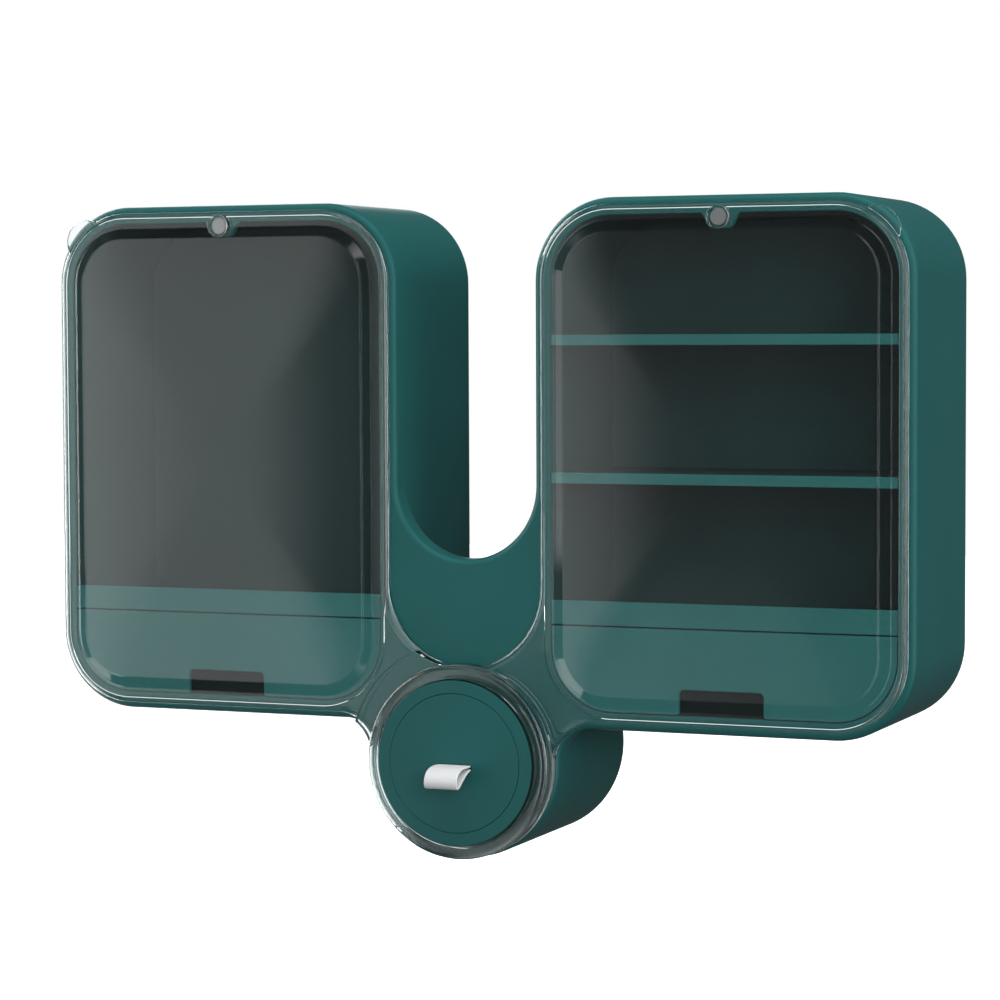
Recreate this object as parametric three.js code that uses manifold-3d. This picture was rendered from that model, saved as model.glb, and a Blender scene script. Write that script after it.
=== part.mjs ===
// Wall mounted storage organiser: two rounded boxes with clear swing doors, joined by a web above a round
// hub. Both doors turn on the hub, one ring in front of the other, and a round drawer slides out of it.
// Millimetres. +X to the viewer's right, +Y into the wall, +Z up.
// The origin is on the hub's axis, in the plane of the wall.

import * as THREE from 'three';
import { mergeVertices } from 'three/addons/utils/BufferGeometryUtils.js';
import Module from 'manifold-3d';

const wasm = await Module();
wasm.setup();

// ---------------------------------------------------------------- driving dimensions

const OVERALL_WIDTH = 450;        // both boxes and the gap between them
const HOUSING_DEPTH = 92.5;       // wall face to housing front
const BOX_HEIGHT = 254.4;
const BOX_GAP = 73;               // clear width between the two boxes
const BOX_CENTRE_Z = 144.7;       // height of the boxes' middle above the hub's axis
const BOX_CORNER = 39.2;          // outer corner radius of a box
const EDGE_ROUND = 3.2;           // rounding of the housing's front edge, outside the door's outline
const FLANGE_WIDTH = 8.5;         // housing's front flange, from the outside to the mouth
const FLANGE_DEPTH = 3;
const WALL = 3;                   // housing wall
const HUB_RADIUS = 48.2;
const HUB_WALL = 2.5;
const WEB_TOP_Z = 134.3;          // centre of the web's round top edge, whose radius is half the box gap
const WEB_DEPTH = 12;
const WEB_SETBACK = 0.05;         // web's face behind the boxes' front, so that no two faces coincide
const NECK_FILLET = 16.8;         // concave round between a box's bottom and the hub

const DOOR_THICKNESS = 6;
const DOOR_PANEL = 3;             // thickness of the clear panel inside the door's rim
const DOOR_RIM = 5;               // width of the rim
const NECK_BIGHT_Z = 85.7;        // centre of the round edge that the door necks leave open
const RING_RADIUS = 47.3;         // outside of both door rings
const RING_BORE = 39.8;
const RING_STEP = 1.4;            // from the right door's front to the left ring's back
const LEFT_RING_THICKNESS = 6;
const NECK_PLATE_RADIUS = 58;     // reach of the step that carries the left ring over the right one
const DOOR_OPEN_CLEARANCE = 0.7;  // left neck round the right door's ring

const EAR_RADIUS = 11.3;          // finger ear at a door's outer top corner
const EAR_X = 206.8;
const EAR_Z = 254.3;
const MAGNET_RADIUS = 4;
const MAGNET_THICKNESS = 2;
const MAGNET_Z = 261.4;

const LIP_RADIUS = 40.7;          // journal's front lip
const LIP_THICKNESS = 2.4;
const LIP_FRONT = 14.8;           // lip in front of the housing's front
const BARREL_RADIUS = 39.4;
const JOURNAL_WALL = 2;
const HUB_SCREW_CIRCLE = 39.6;
const HUB_SCREW_ANGLES = [90, 210, 330];
const HUB_SCREW = { thread: 1.35, threadHole: 1.7, head: 3.2, headHole: 3.6, passHole: 1.8 };   // radii
const HUB_COVER = 3;
const BOSS_LENGTH = 22;

const DRAWER_RADIUS = 33.8;       // round drawer
const DRAWER_LENGTH = 86;
const DRAWER_SKIN = 1.8;
const DRAWER_FACE = 2.4;          // thickness of the round drawer's face
const DRAWER_BLOCK = 7;           // depth of the solid front that holds the pull tab
const DRAWER_OPEN_Z = 9;          // height of the round tray's side walls
const DRAWER_BACK_Z = 21.4;       // height of its back wall

const FASCIA_TOP_Z = 79.4;
const FASCIA_BOTTOM_Z = 68;
const DRAWER_TOP_Z = 67.2;
const UPPER_SHELF_TOP_Z = 206.7;
const LOWER_SHELF_TOP_Z = 140.7;
const SHELF_TRIM_HEIGHT = 5;
const SHELF_BOARD = 3.2;
const NOTCH_WIDTH = 42;
const NOTCH_HEIGHT = 12.6;

const TAB_WIDTH = 17;
const TAB_THICKNESS = 1.2;
const TAB_Z = -2.2;               // where the strap passes through the drawer's face
const TAB_PIN_RADIUS = 1.5;
const TAB_PIN_DEPTH = 5.6;        // pin's axis behind the drawer's face

const BACK_PANEL = 4;
const LINER_WALL = 1.6;
const TRIM_DEPTH = 2.4;
const SHELF_TRIM_DEPTH = 4.4;
const BOARD_DROP = 0.7;           // a shelf board's top below its trim's top
const LEDGE_DEPTH = 2.5;
const LEDGE_HEIGHT = 2.1;
const DIVIDER_TOP_Z = 71.5;
const DIVIDER_THICKNESS = 2.5;
const TRAY_SKIN = 1.8;            // box drawer tray
const TRAY_TOP_DROP = 4;          // tray's top below the drawer front's top
const WALL_PLATE = { width: 60, height: 90, depth: 1.8, corner: 5, z: 190 };

const GAP = 0.3;                  // clearance between pieces that sit against each other
const OVER = 1;                   // how far a cutting solid runs past what it cuts
const NECK_REACH = 80;            // how far a neck's outline runs in under its box
const BIGHT_START = 4;            // degrees below level where the bight leaves the box's side

// ---------------------------------------------------------------- worked out from them

const FRONT = -HOUSING_DEPTH;
const BOX_WIDTH = (OVERALL_WIDTH - BOX_GAP) / 2;
const BOX_X = (BOX_GAP + BOX_WIDTH) / 2;
const BOX_BOTTOM_Z = BOX_CENTRE_Z - BOX_HEIGHT / 2;
const MOUTH_HALF_WIDTH = BOX_WIDTH / 2 - FLANGE_WIDTH;
const MOUTH_BOTTOM_Z = BOX_BOTTOM_Z + FLANGE_WIDTH;
const MOUTH_TOP_Z = BOX_BOTTOM_Z + BOX_HEIGHT - FLANGE_WIDTH;
const DOOR_FRONT = FRONT - DOOR_THICKNESS;
const DOOR_BACK = FRONT - GAP;
const LEFT_RING_BACK = DOOR_FRONT - RING_STEP;
const LEFT_RING_FRONT = LEFT_RING_BACK - LEFT_RING_THICKNESS;
const JOURNAL_FRONT = FRONT - LIP_FRONT;
const JOURNAL_BORE = DRAWER_RADIUS + 0.4;
const LINER_FRONT = FRONT + FLANGE_DEPTH + GAP;
const LINER_BACK = -BACK_PANEL - 2;
const TRIM_FRONT = FRONT + 0.6;   // shelf trims, fascias and drawer fronts lie just behind the doors
const TAB_PIN_Y = JOURNAL_FRONT + TAB_PIN_DEPTH;
const SIDES = { left: -1, right: 1 };

// ---------------------------------------------------------------- outlines in the XZ plane

// Points of an arc about (cx, cz) from angle a to angle b, in degrees.
function arc(cx, cz, radius, a, b, steps = 10) {
  return Array.from({ length: steps + 1 }, (_, i) => {
    const angle = THREE.MathUtils.degToRad(a + ((b - a) * i) / steps);
    return [cx + radius * Math.cos(angle), cz + radius * Math.sin(angle)];
  });
}

function circle(cx, cz, radius, steps = 48) {
  return arc(cx, cz, radius, 0, 360, steps).slice(0, -1);
}

function roundedRect(cx, cz, width, height, radius, steps = 7) {
  const x = width / 2 - radius;
  const z = height / 2 - radius;
  return [
    ...arc(cx + x, cz + z, radius, 0, 90, steps),
    ...arc(cx - x, cz + z, radius, 90, 180, steps),
    ...arc(cx - x, cz - z, radius, 180, 270, steps),
    ...arc(cx + x, cz - z, radius, 270, 360, steps),
  ];
}

// A box's outline, moved inwards by inset.
function boxOutline(side, inset) {
  const width = BOX_WIDTH - 2 * inset;
  const height = BOX_HEIGHT - 2 * inset;
  return roundedRect(side * BOX_X, BOX_CENTRE_Z, width, height, BOX_CORNER - inset);
}

function mirrored(outline, side) {
  return outline.map(([x, z]) => [side * x, z]);
}

// Lower edge of a neck on the right, from the hub outwards: a concave round that touches the hub's circle
// and the box's bottom edge.
function neckFoot(bottomZ, hubRadius, fillet) {
  const filletZ = bottomZ - fillet;
  const filletX = Math.sqrt((hubRadius + fillet) ** 2 - filletZ ** 2);
  const towardsHub = THREE.MathUtils.radToDeg(Math.atan2(filletZ, filletX)) + 180;
  return [...arc(filletX, filletZ, fillet, towardsHub, 90), [NECK_REACH, bottomZ]];
}

// The neck on the right, between a box and the hub's axis. bight is the round edge above it.
function neckOutline(foot, bight) {
  const upper = arc(0, bight.z, bight.radius, -BIGHT_START, -90);
  return [...upper, [0, 0], ...foot, [NECK_REACH, bight.z - OVER]];
}

// Both necks as one outline.
function webOutline(foot, bight) {
  return [
    ...arc(0, bight.z, bight.radius, -BIGHT_START, BIGHT_START - 180, 20),
    [-NECK_REACH, bight.z - OVER],
    ...mirrored(foot, -1).reverse(),
    [0, 0],
    ...foot,
    [NECK_REACH, bight.z - OVER],
  ];
}

// ---------------------------------------------------------------- solids

// A closed three.js geometry as a manifold-3d solid.
function solid(geometry) {
  geometry.deleteAttribute('normal');
  geometry.deleteAttribute('uv');
  const merged = mergeVertices(geometry, 1e-4);
  return new wasm.Manifold(new wasm.Mesh({
    numProp: 3,
    vertProperties: new Float32Array(merged.attributes.position.array),
    triVerts: new Uint32Array(merged.index.array),
  }));
}

// An XZ outline extruded along Y, from yFront to yBack.
function slab(outline, yFront, yBack, bevel = 0) {
  const shape = new THREE.Shape(outline.map(([x, z]) => new THREE.Vector2(x, z)));
  const geometry = new THREE.ExtrudeGeometry(shape, {
    depth: yBack - yFront - 2 * bevel,
    bevelEnabled: bevel > 0,
    bevelThickness: bevel,
    bevelSize: bevel,
    bevelOffset: -bevel,
    bevelSegments: 2,
  });
  geometry.rotateX(Math.PI / 2);
  geometry.translate(0, yBack - bevel, 0);
  return solid(geometry);
}

// A slab with its front edge rounded and its back edge square.
function roundedFrontSlab(outline, yFront, yBack, radius) {
  const long = slab(outline, yFront, yBack + 2 * radius, radius);
  const behind = block([-400, yBack, -400], [400, yBack + 3 * radius, 400]);
  return long.subtract(behind);
}

function block(low, high) {
  const size = high.map((v, i) => v - low[i]);
  const geometry = new THREE.BoxGeometry(...size);
  geometry.translate(...low.map((v, i) => v + size[i] / 2));
  return solid(geometry);
}

// A closed (radius, y) profile turned about the hub's axis. It runs anticlockwise: up Y on its outside.
function turned(profile, steps = 48) {
  return solid(new THREE.LatheGeometry(profile.map(([r, y]) => new THREE.Vector2(r, y)), steps));
}

function tube(inner, outer, yFront, yBack) {
  return turned([[inner, yFront], [outer, yFront], [outer, yBack], [inner, yBack], [inner, yFront]]);
}

function disc(x, z, radius, yFront, yBack, steps = 24) {
  return slab(circle(x, z, radius, steps), yFront, yBack);
}

function union(parts) {
  return parts.reduce((whole, part) => whole.add(part));
}

// ---------------------------------------------------------------- housing

function housingWeb() {
  const topRadius = BOX_GAP / 2;
  const foot = neckFoot(BOX_BOTTOM_Z, HUB_RADIUS, NECK_FILLET);
  const outline = webOutline(foot, { z: WEB_TOP_Z, radius: topRadius });
  const pocketRadius = topRadius + WALL;
  const pocketAngle = THREE.MathUtils.radToDeg(Math.acos(topRadius / pocketRadius));
  const pocket = [
    ...arc(0, WEB_TOP_Z, pocketRadius, -pocketAngle, pocketAngle - 180, 16),
    [-topRadius, 22],
    [topRadius, 22],
  ];
  return roundedFrontSlab(outline, FRONT + WEB_SETBACK, FRONT + WEB_DEPTH, EDGE_ROUND)
    .subtract(slab(pocket, FRONT + WALL, FRONT + WEB_DEPTH + OVER));
}

// Tab that hangs from the flange, and the pocket in it for the catch magnet.
function catchTab(side) {
  const x = side * BOX_X;
  return slab([
    [x - 10, MOUTH_TOP_Z + OVER],
    [x - 6.5, MAGNET_Z - 5.6],
    [x + 6.5, MAGNET_Z - 5.6],
    [x + 10, MOUTH_TOP_Z + OVER],
  ], FRONT, FRONT + FLANGE_DEPTH);
}

function catchPocket(side) {
  return disc(side * BOX_X, MAGNET_Z, MAGNET_RADIUS + GAP, FRONT - OVER, FRONT + 2.2);
}

function housing() {
  const hub = roundedFrontSlab(circle(0, 0, HUB_RADIUS, 48), FRONT, 0, EDGE_ROUND - 1);
  let body = hub.add(housingWeb());
  for (const side of Object.values(SIDES)) {
    body = body.add(roundedFrontSlab(boxOutline(side, 0), FRONT, 0, EDGE_ROUND));
  }
  for (const side of Object.values(SIDES)) {
    body = body
      .subtract(slab(boxOutline(side, WALL), FRONT + FLANGE_DEPTH, OVER))
      .subtract(slab(boxOutline(side, FLANGE_WIDTH), FRONT - OVER, FRONT + FLANGE_DEPTH + OVER))
      .add(catchTab(side))
      .subtract(catchPocket(side));
  }
  const hubInside = HUB_RADIUS - HUB_WALL;
  return body
    .subtract(slab(circle(0, 0, hubInside, 48), FRONT + FLANGE_DEPTH, OVER))
    .subtract(slab(circle(0, 0, BARREL_RADIUS + GAP, 48), FRONT - OVER, FRONT + FLANGE_DEPTH + OVER));
}

// One box of the housing, cut off at its outline.
function boxCase(whole, side) {
  return whole.intersect(slab(boxOutline(side, 0), FRONT - OVER, OVER));
}

// What is left of the housing between and below the boxes: the web, the necks and the hub.
function hubFrame(whole) {
  const boxes = Object.values(SIDES).map((side) => slab(boxOutline(side, -GAP), FRONT - OVER, OVER));
  return boxes.reduce((frame, box) => frame.subtract(box), whole);
}

// ---------------------------------------------------------------- box interiors

// Ledge on both side walls, under a board whose underside is at z.
function ledges(side, z) {
  const half = LEDGE_DEPTH / 2;
  const intoWall = LINER_WALL / 3;
  const top = z - GAP;
  return [-1, 1].map((wall) => {
    const x = side * BOX_X + wall * (MOUTH_HALF_WIDTH + intoWall - half);
    return block([x - half, LINER_FRONT + 6, top - LEDGE_HEIGHT], [x + half, LINER_BACK - intoWall, top]);
  });
}

function liner(side, boardUndersides) {
  const shell = slab(boxOutline(side, FLANGE_WIDTH - LINER_WALL), LINER_FRONT, LINER_BACK);
  const inside = slab(boxOutline(side, FLANGE_WIDTH), LINER_FRONT - OVER, LINER_BACK - LINER_WALL);
  return union([shell.subtract(inside), ...boardUndersides.flatMap((z) => ledges(side, z))]);
}

function board(side, topZ, thickness, yFront) {
  const half = MOUTH_HALF_WIDTH - GAP;
  const x = side * BOX_X;
  return block([x - half, yFront, topZ - thickness], [x + half, LINER_BACK - LINER_WALL - GAP, topZ]);
}

function rail(side, bottomZ, topZ, depth) {
  const half = MOUTH_HALF_WIDTH - GAP;
  const x = side * BOX_X;
  return block([x - half, TRIM_FRONT, bottomZ], [x + half, TRIM_FRONT + depth, topZ]);
}

// Outline of a box drawer: straight top edge, bottom corners that follow the mouth.
function drawerOutline(side, topZ, inset) {
  const cornerRadius = BOX_CORNER - FLANGE_WIDTH - inset;
  const half = MOUTH_HALF_WIDTH - inset;
  const bottom = MOUTH_BOTTOM_Z + inset;
  const x = side * BOX_X;
  return [
    [x + half, topZ],
    [x - half, topZ],
    ...arc(x - half + cornerRadius, bottom + cornerRadius, cornerRadius, 180, 270),
    ...arc(x + half - cornerRadius, bottom + cornerRadius, cornerRadius, 270, 360),
  ];
}

function drawerFront(side) {
  const x = side * BOX_X;
  const top = MOUTH_BOTTOM_Z + NOTCH_HEIGHT;
  const corner = 2.5;
  const half = NOTCH_WIDTH / 2;
  const notch = [
    [x + half, MOUTH_BOTTOM_Z - OVER],
    ...arc(x + half - corner, top - corner, corner, 0, 90, 4),
    ...arc(x - half + corner, top - corner, corner, 90, 180, 4),
    [x - half, MOUTH_BOTTOM_Z - OVER],
  ];
  return slab(drawerOutline(side, DRAWER_TOP_Z, 0.4), TRIM_FRONT, TRIM_FRONT + TRIM_DEPTH)
    .subtract(slab(notch, TRIM_FRONT - OVER, TRIM_FRONT + TRIM_DEPTH + OVER));
}

function drawerTray(side) {
  const front = TRIM_FRONT + TRIM_DEPTH + GAP;
  const back = LINER_BACK - 6;
  const top = DRAWER_TOP_Z - TRAY_TOP_DROP;
  const inside = drawerOutline(side, top + OVER, 1 + TRAY_SKIN);
  return slab(drawerOutline(side, top, 1), front, back)
    .subtract(slab(inside, front + TRAY_SKIN, back - TRAY_SKIN));
}

// Outline of the plate that sticks to the wall, grown by the gap round it.
function wallPlateOutline(side, gap) {
  const { width, height, corner, z } = WALL_PLATE;
  return roundedRect(side * BOX_X, z, width + 2 * gap, height + 2 * gap, corner, 5);
}

function backPanel(side) {
  const pocket = slab(wallPlateOutline(side, GAP), -WALL_PLATE.depth - GAP, OVER);
  return slab(boxOutline(side, WALL + GAP), -BACK_PANEL, 0).subtract(pocket);
}

// ---------------------------------------------------------------- doors

// A door's neck, from the box to the hub. It runs on to the hub's axis.
function doorNeck(side, yFront, yBack) {
  const foot = neckFoot(BOX_BOTTOM_Z + EDGE_ROUND, RING_RADIUS, NECK_FILLET + EDGE_ROUND);
  const outline = neckOutline(foot, { z: NECK_BIGHT_Z, radius: BOX_GAP / 2 + EDGE_ROUND });
  return slab(mirrored(outline, side), yFront, yBack);
}

function doorPanel(side) {
  const x = side * BOX_X;
  const rimInset = EDGE_ROUND + DOOR_RIM;
  const boss = disc(x, MAGNET_Z, MAGNET_RADIUS + 1.6, DOOR_FRONT, DOOR_BACK);
  const socket = disc(x, MAGNET_Z, MAGNET_RADIUS + GAP, DOOR_FRONT + DOOR_PANEL, DOOR_BACK + OVER);
  const ear = disc(side * EAR_X, EAR_Z, EAR_RADIUS, DOOR_FRONT + 2.4, DOOR_FRONT + 4.6);
  return slab(boxOutline(side, EDGE_ROUND), DOOR_FRONT, DOOR_BACK)
    .subtract(slab(boxOutline(side, rimInset), DOOR_FRONT + DOOR_PANEL, DOOR_BACK + OVER))
    .add(ear.subtract(slab(boxOutline(side, rimInset), DOOR_FRONT, DOOR_BACK)))
    .add(boss)
    .subtract(socket);
}

// Keeps only what lies between two radii about the hub's axis.
function betweenRadii(part, inner, outer) {
  const kept = outer ? part.intersect(slab(circle(0, 0, outer, 48), LEFT_RING_FRONT - OVER, OVER)) : part;
  return kept.subtract(slab(circle(0, 0, inner, 48), LEFT_RING_FRONT - 2 * OVER, 2 * OVER));
}

function leftDoor() {
  const clear = RING_RADIUS + DOOR_OPEN_CLEARANCE;
  const panel = doorPanel(-1).add(betweenRadii(doorNeck(-1, DOOR_FRONT, DOOR_BACK), clear));
  const plateFront = LEFT_RING_BACK - 1.6;
  const step = betweenRadii(doorNeck(-1, plateFront, LEFT_RING_BACK), RING_RADIUS - OVER, NECK_PLATE_RADIUS);
  const stepRoot = betweenRadii(doorNeck(-1, plateFront, DOOR_FRONT + 0.1), clear, NECK_PLATE_RADIUS);
  const chamfer = 1.8;
  const counterbore = LIP_RADIUS + 0.4;
  const counterboreFloor = JOURNAL_FRONT + LIP_THICKNESS + GAP;
  const ring = turned([
    [counterbore, LEFT_RING_FRONT],
    [RING_RADIUS - chamfer, LEFT_RING_FRONT],
    [RING_RADIUS, LEFT_RING_FRONT + chamfer],
    [RING_RADIUS, LEFT_RING_BACK],
    [RING_BORE, LEFT_RING_BACK],
    [RING_BORE, counterboreFloor],
    [counterbore, counterboreFloor],
    [counterbore, LEFT_RING_FRONT],
  ]);
  return panel.add(step).add(stepRoot).add(ring);
}

function rightDoor() {
  const ring = tube(RING_BORE, RING_RADIUS, DOOR_FRONT, DOOR_BACK);
  return doorPanel(1).add(betweenRadii(doorNeck(1, DOOR_FRONT, DOOR_BACK), RING_BORE)).add(ring);
}

// ---------------------------------------------------------------- hub and round drawer

// Calls make(x, z) for each of the three places round the hub.
function aroundHub(make) {
  return HUB_SCREW_ANGLES.map((degrees) => {
    const angle = THREE.MathUtils.degToRad(degrees);
    return make(HUB_SCREW_CIRCLE * Math.cos(angle), HUB_SCREW_CIRCLE * Math.sin(angle));
  });
}

function hubJournal() {
  const lipBack = JOURNAL_FRONT + LIP_THICKNESS;
  const sleeveBack = -HUB_COVER - GAP;
  const sleeveOuter = JOURNAL_BORE + JOURNAL_WALL;
  const barrelInner = BARREL_RADIUS - JOURNAL_WALL;
  const barrelBack = FRONT + 8;
  const sleeve = turned([
    [JOURNAL_BORE, JOURNAL_FRONT],
    [LIP_RADIUS, JOURNAL_FRONT],
    [LIP_RADIUS, lipBack],
    [BARREL_RADIUS, lipBack],
    [BARREL_RADIUS, barrelBack],
    [barrelInner, barrelBack],
    [barrelInner, lipBack],
    [sleeveOuter, lipBack],
    [sleeveOuter, sleeveBack],
    [JOURNAL_BORE, sleeveBack],
    [JOURNAL_BORE, JOURNAL_FRONT],
  ]);
  const bossFront = sleeveBack - BOSS_LENGTH;
  const bosses = aroundHub((x, z) => disc(x, z, HUB_SCREW.headHole, bossFront, sleeveBack, 16)
    .subtract(disc(x, z, HUB_SCREW.threadHole, bossFront + 4, sleeveBack + OVER, 12))
    .subtract(slab(circle(0, 0, JOURNAL_BORE + OVER, 48), bossFront - OVER, OVER)));
  return union([sleeve, ...bosses]);
}

function hubBackCover() {
  const holes = aroundHub((x, z) => disc(x, z, HUB_SCREW.passHole, -HUB_COVER - OVER, OVER, 12)
    .add(disc(x, z, HUB_SCREW.headHole, -1.8, OVER, 16)));
  return slab(circle(0, 0, HUB_RADIUS - HUB_WALL - GAP, 48), -HUB_COVER, 0).subtract(union(holes));
}

function hubScrews() {
  return aroundHub((x, z) => disc(x, z, HUB_SCREW.thread, -16, -1, 12)
    .add(disc(x, z, HUB_SCREW.head, -1.5, -GAP, 16)));
}

function roundDrawerFront() {
  const face = slab(circle(0, 0, DRAWER_RADIUS, 48), JOURNAL_FRONT, JOURNAL_FRONT + DRAWER_FACE);
  const halfWidth = TAB_WIDTH / 2 + 0.5;
  const halfHeight = 2;
  return face.subtract(block(
    [-halfWidth, JOURNAL_FRONT - OVER, TAB_Z - halfHeight],
    [halfWidth, FRONT, TAB_Z + halfHeight],
  ));
}

// Round tray: a cup cut open above the axis, with a solid front that the pull tab's pin sits in.
function roundDrawerTray() {
  const front = JOURNAL_FRONT + DRAWER_FACE + GAP;
  const back = JOURNAL_FRONT + DRAWER_LENGTH;
  const insideFront = front + DRAWER_BLOCK;
  const outer = DRAWER_RADIUS - 0.4;
  const far = outer + OVER;
  const tabHalfWidth = TAB_WIDTH / 2 + 3;
  const tabHalfHeight = 5;
  return slab(circle(0, 0, outer, 48), front, back)
    .subtract(slab(circle(0, 0, outer - DRAWER_SKIN, 48), insideFront, back - DRAWER_SKIN))
    .subtract(block([-far, insideFront, DRAWER_OPEN_Z], [far, back - DRAWER_SKIN, far]))
    .subtract(block([-far, insideFront, DRAWER_BACK_Z], [far, back + OVER, far]))
    .subtract(block(
      [-tabHalfWidth, front - OVER, TAB_Z - tabHalfHeight],
      [tabHalfWidth, insideFront - OVER, TAB_Z + tabHalfHeight],
    ));
}

// ---------------------------------------------------------------- pull tab

// Centreline of the strap loop in the YZ plane: out through the face, round the nose and back, then round
// the pin.
function tabCentreline() {
  const pinWrap = TAB_PIN_RADIUS + GAP + TAB_THICKNESS / 2;
  const forward = (distance) => JOURNAL_FRONT - distance;
  return [
    [forward(-2.6), TAB_Z + 1],
    [forward(0), TAB_Z + 0.95],
    [forward(5), TAB_Z + 1.1],
    [forward(10.5), TAB_Z + 0.6],
    [forward(14.6), TAB_Z - 1.4],
    [forward(16.4), TAB_Z - 4.6],
    [forward(15.6), TAB_Z - 7.4],
    [forward(12.6), TAB_Z - 7.2],
    [forward(8.2), TAB_Z - 4.4],
    [forward(4), TAB_Z - 2.1],
    [forward(0), TAB_Z - 0.95],
    [forward(-2.6), TAB_Z - 1],
    ...arc(TAB_PIN_Y, TAB_Z, pinWrap, -110, 110, 8),
  ];
}

function pullTab() {
  const curve = new THREE.CatmullRomCurve3(
    tabCentreline().map(([y, z]) => new THREE.Vector3(0, y, z)), true, 'centripetal');
  const count = 56;
  const offset = (distance) => Array.from({ length: count }, (_, i) => {
    const point = curve.getPointAt(i / count);
    const tangent = curve.getTangentAt(i / count);
    return new THREE.Vector2(point.y + distance * tangent.z, point.z - distance * tangent.y);
  });
  const outside = offset(TAB_THICKNESS / 2);
  const inside = offset(-TAB_THICKNESS / 2);
  const larger = THREE.ShapeUtils.area(outside) ** 2 > THREE.ShapeUtils.area(inside) ** 2;
  const shape = new THREE.Shape(larger ? outside : inside);
  shape.holes.push(new THREE.Path(larger ? inside : outside));
  const geometry = new THREE.ExtrudeGeometry(shape, { depth: TAB_WIDTH, bevelEnabled: false });
  // The shape's x and y are the part's Y and Z, and its depth is the part's X.
  const axes = new THREE.Matrix4().makeBasis(
    new THREE.Vector3(0, 1, 0), new THREE.Vector3(0, 0, 1), new THREE.Vector3(1, 0, 0));
  geometry.translate(0, 0, -TAB_WIDTH / 2);
  geometry.applyMatrix4(axes);
  return solid(geometry);
}

function tabPin() {
  const half = TAB_WIDTH / 2 + 1.5;
  const geometry = new THREE.CylinderGeometry(TAB_PIN_RADIUS, TAB_PIN_RADIUS, 2 * half, 16);
  geometry.rotateZ(Math.PI / 2);
  geometry.translate(0, TAB_PIN_Y, TAB_Z);
  return solid(geometry);
}

// ---------------------------------------------------------------- assembly

const MATERIALS = {
  green: { color: 0x275a59, roughness: 0.42, metalness: 0 },
  clear: { color: 0xd7e6e6, roughness: 0.06, metalness: 0, transparent: true, opacity: 0.35 },
  charcoal: { color: 0x23282a, roughness: 0.6, metalness: 0 },
  white: { color: 0xe4e5e6, roughness: 0.5, metalness: 0 },
  magnet: { color: 0x9a9aa0, roughness: 0.3, metalness: 1 },
  steel: { color: 0x8f9296, roughness: 0.35, metalness: 1 },
};

const organiser = new THREE.Group();

function place(name, part, material) {
  const { vertProperties, triVerts } = part.getMesh();
  const geometry = new THREE.BufferGeometry();
  geometry.setAttribute('position', new THREE.BufferAttribute(vertProperties, 3));
  geometry.setIndex(new THREE.BufferAttribute(triVerts, 1));
  geometry.computeVertexNormals();
  const mesh = new THREE.Mesh(geometry, new THREE.MeshStandardMaterial(MATERIALS[material]));
  mesh.name = name;
  organiser.add(mesh);
}

const wholeHousing = housing();
place('hub_frame', hubFrame(wholeHousing), 'green');
const leftCase = boxCase(wholeHousing, SIDES.left);
place('left_case', leftCase, 'green');
place('right_case', leftCase.mirror([1, 0, 0]), 'green');
place('left_door', leftDoor(), 'clear');
place('right_door', rightDoor(), 'clear');

const shelves = { upper: UPPER_SHELF_TOP_Z, lower: LOWER_SHELF_TOP_Z };
const shelfUndersides = Object.values(shelves).map((z) => z - BOARD_DROP - SHELF_BOARD);
const dividerUnderside = DIVIDER_TOP_Z - DIVIDER_THICKNESS;
const behindTrim = TRIM_FRONT + TRIM_DEPTH + GAP;
const behindShelfTrim = TRIM_FRONT + SHELF_TRIM_DEPTH + GAP;
const doorMagnetFront = DOOR_FRONT + DOOR_PANEL + GAP;
const catchMagnetFront = FRONT + 0.2;

for (const [name, side] of Object.entries(SIDES)) {
  const x = side * BOX_X;
  const magnet = (front, thickness) => disc(x, MAGNET_Z, MAGNET_RADIUS, front, front + thickness);
  const undersides = [dividerUnderside, ...(name === 'right' ? shelfUndersides : [])];
  place(`${name}_liner`, liner(side, undersides), 'charcoal');
  place(`${name}_fascia`, rail(side, FASCIA_BOTTOM_Z, FASCIA_TOP_Z, TRIM_DEPTH), 'green');
  place(`${name}_divider`, board(side, DIVIDER_TOP_Z, DIVIDER_THICKNESS, behindTrim), 'charcoal');
  place(`${name}_drawer_front`, drawerFront(side), 'green');
  place(`${name}_drawer_tray`, drawerTray(side), 'charcoal');
  place(`${name}_back_panel`, backPanel(side), 'green');
  place(`${name}_wall_plate`, slab(wallPlateOutline(side, 0), -WALL_PLATE.depth, 0), 'white');
  place(`${name}_door_magnet`, magnet(doorMagnetFront, MAGNET_THICKNESS), 'magnet');
  place(`${name}_catch_magnet`, magnet(catchMagnetFront, MAGNET_THICKNESS - GAP), 'magnet');
}

for (const [name, topZ] of Object.entries(shelves)) {
  place(`${name}_shelf`, board(SIDES.right, topZ - BOARD_DROP, SHELF_BOARD, behindShelfTrim), 'charcoal');
  place(`${name}_shelf_trim`, rail(SIDES.right, topZ - SHELF_TRIM_HEIGHT, topZ, SHELF_TRIM_DEPTH), 'green');
}

const spacer = tube(BARREL_RADIUS + 0.5, RING_RADIUS - 0.8, LEFT_RING_BACK + GAP, DOOR_FRONT - GAP);
place('hub_journal', hubJournal(), 'green');
place('ring_spacer', spacer, 'charcoal');
place('hub_back_cover', hubBackCover(), 'green');
hubScrews().forEach((screw, i) => place(`hub_screw_${i + 1}`, screw, 'steel'));
place('round_drawer_front', roundDrawerFront(), 'green');
place('round_drawer_tray', roundDrawerTray(), 'green');
place('pull_tab', pullTab(), 'white');
place('tab_pin', tabPin(), 'steel');

export default organiser;
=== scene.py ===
# Wall mounted storage organiser: what the eye sees of it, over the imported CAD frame.
# The frame is in metres, with its origin on the hub's axis in the plane of the wall: +X to the viewer's
# right, +Y into the wall, +Z up. The shapes below are given in millimetres and scaled when they are made.

import math

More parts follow.
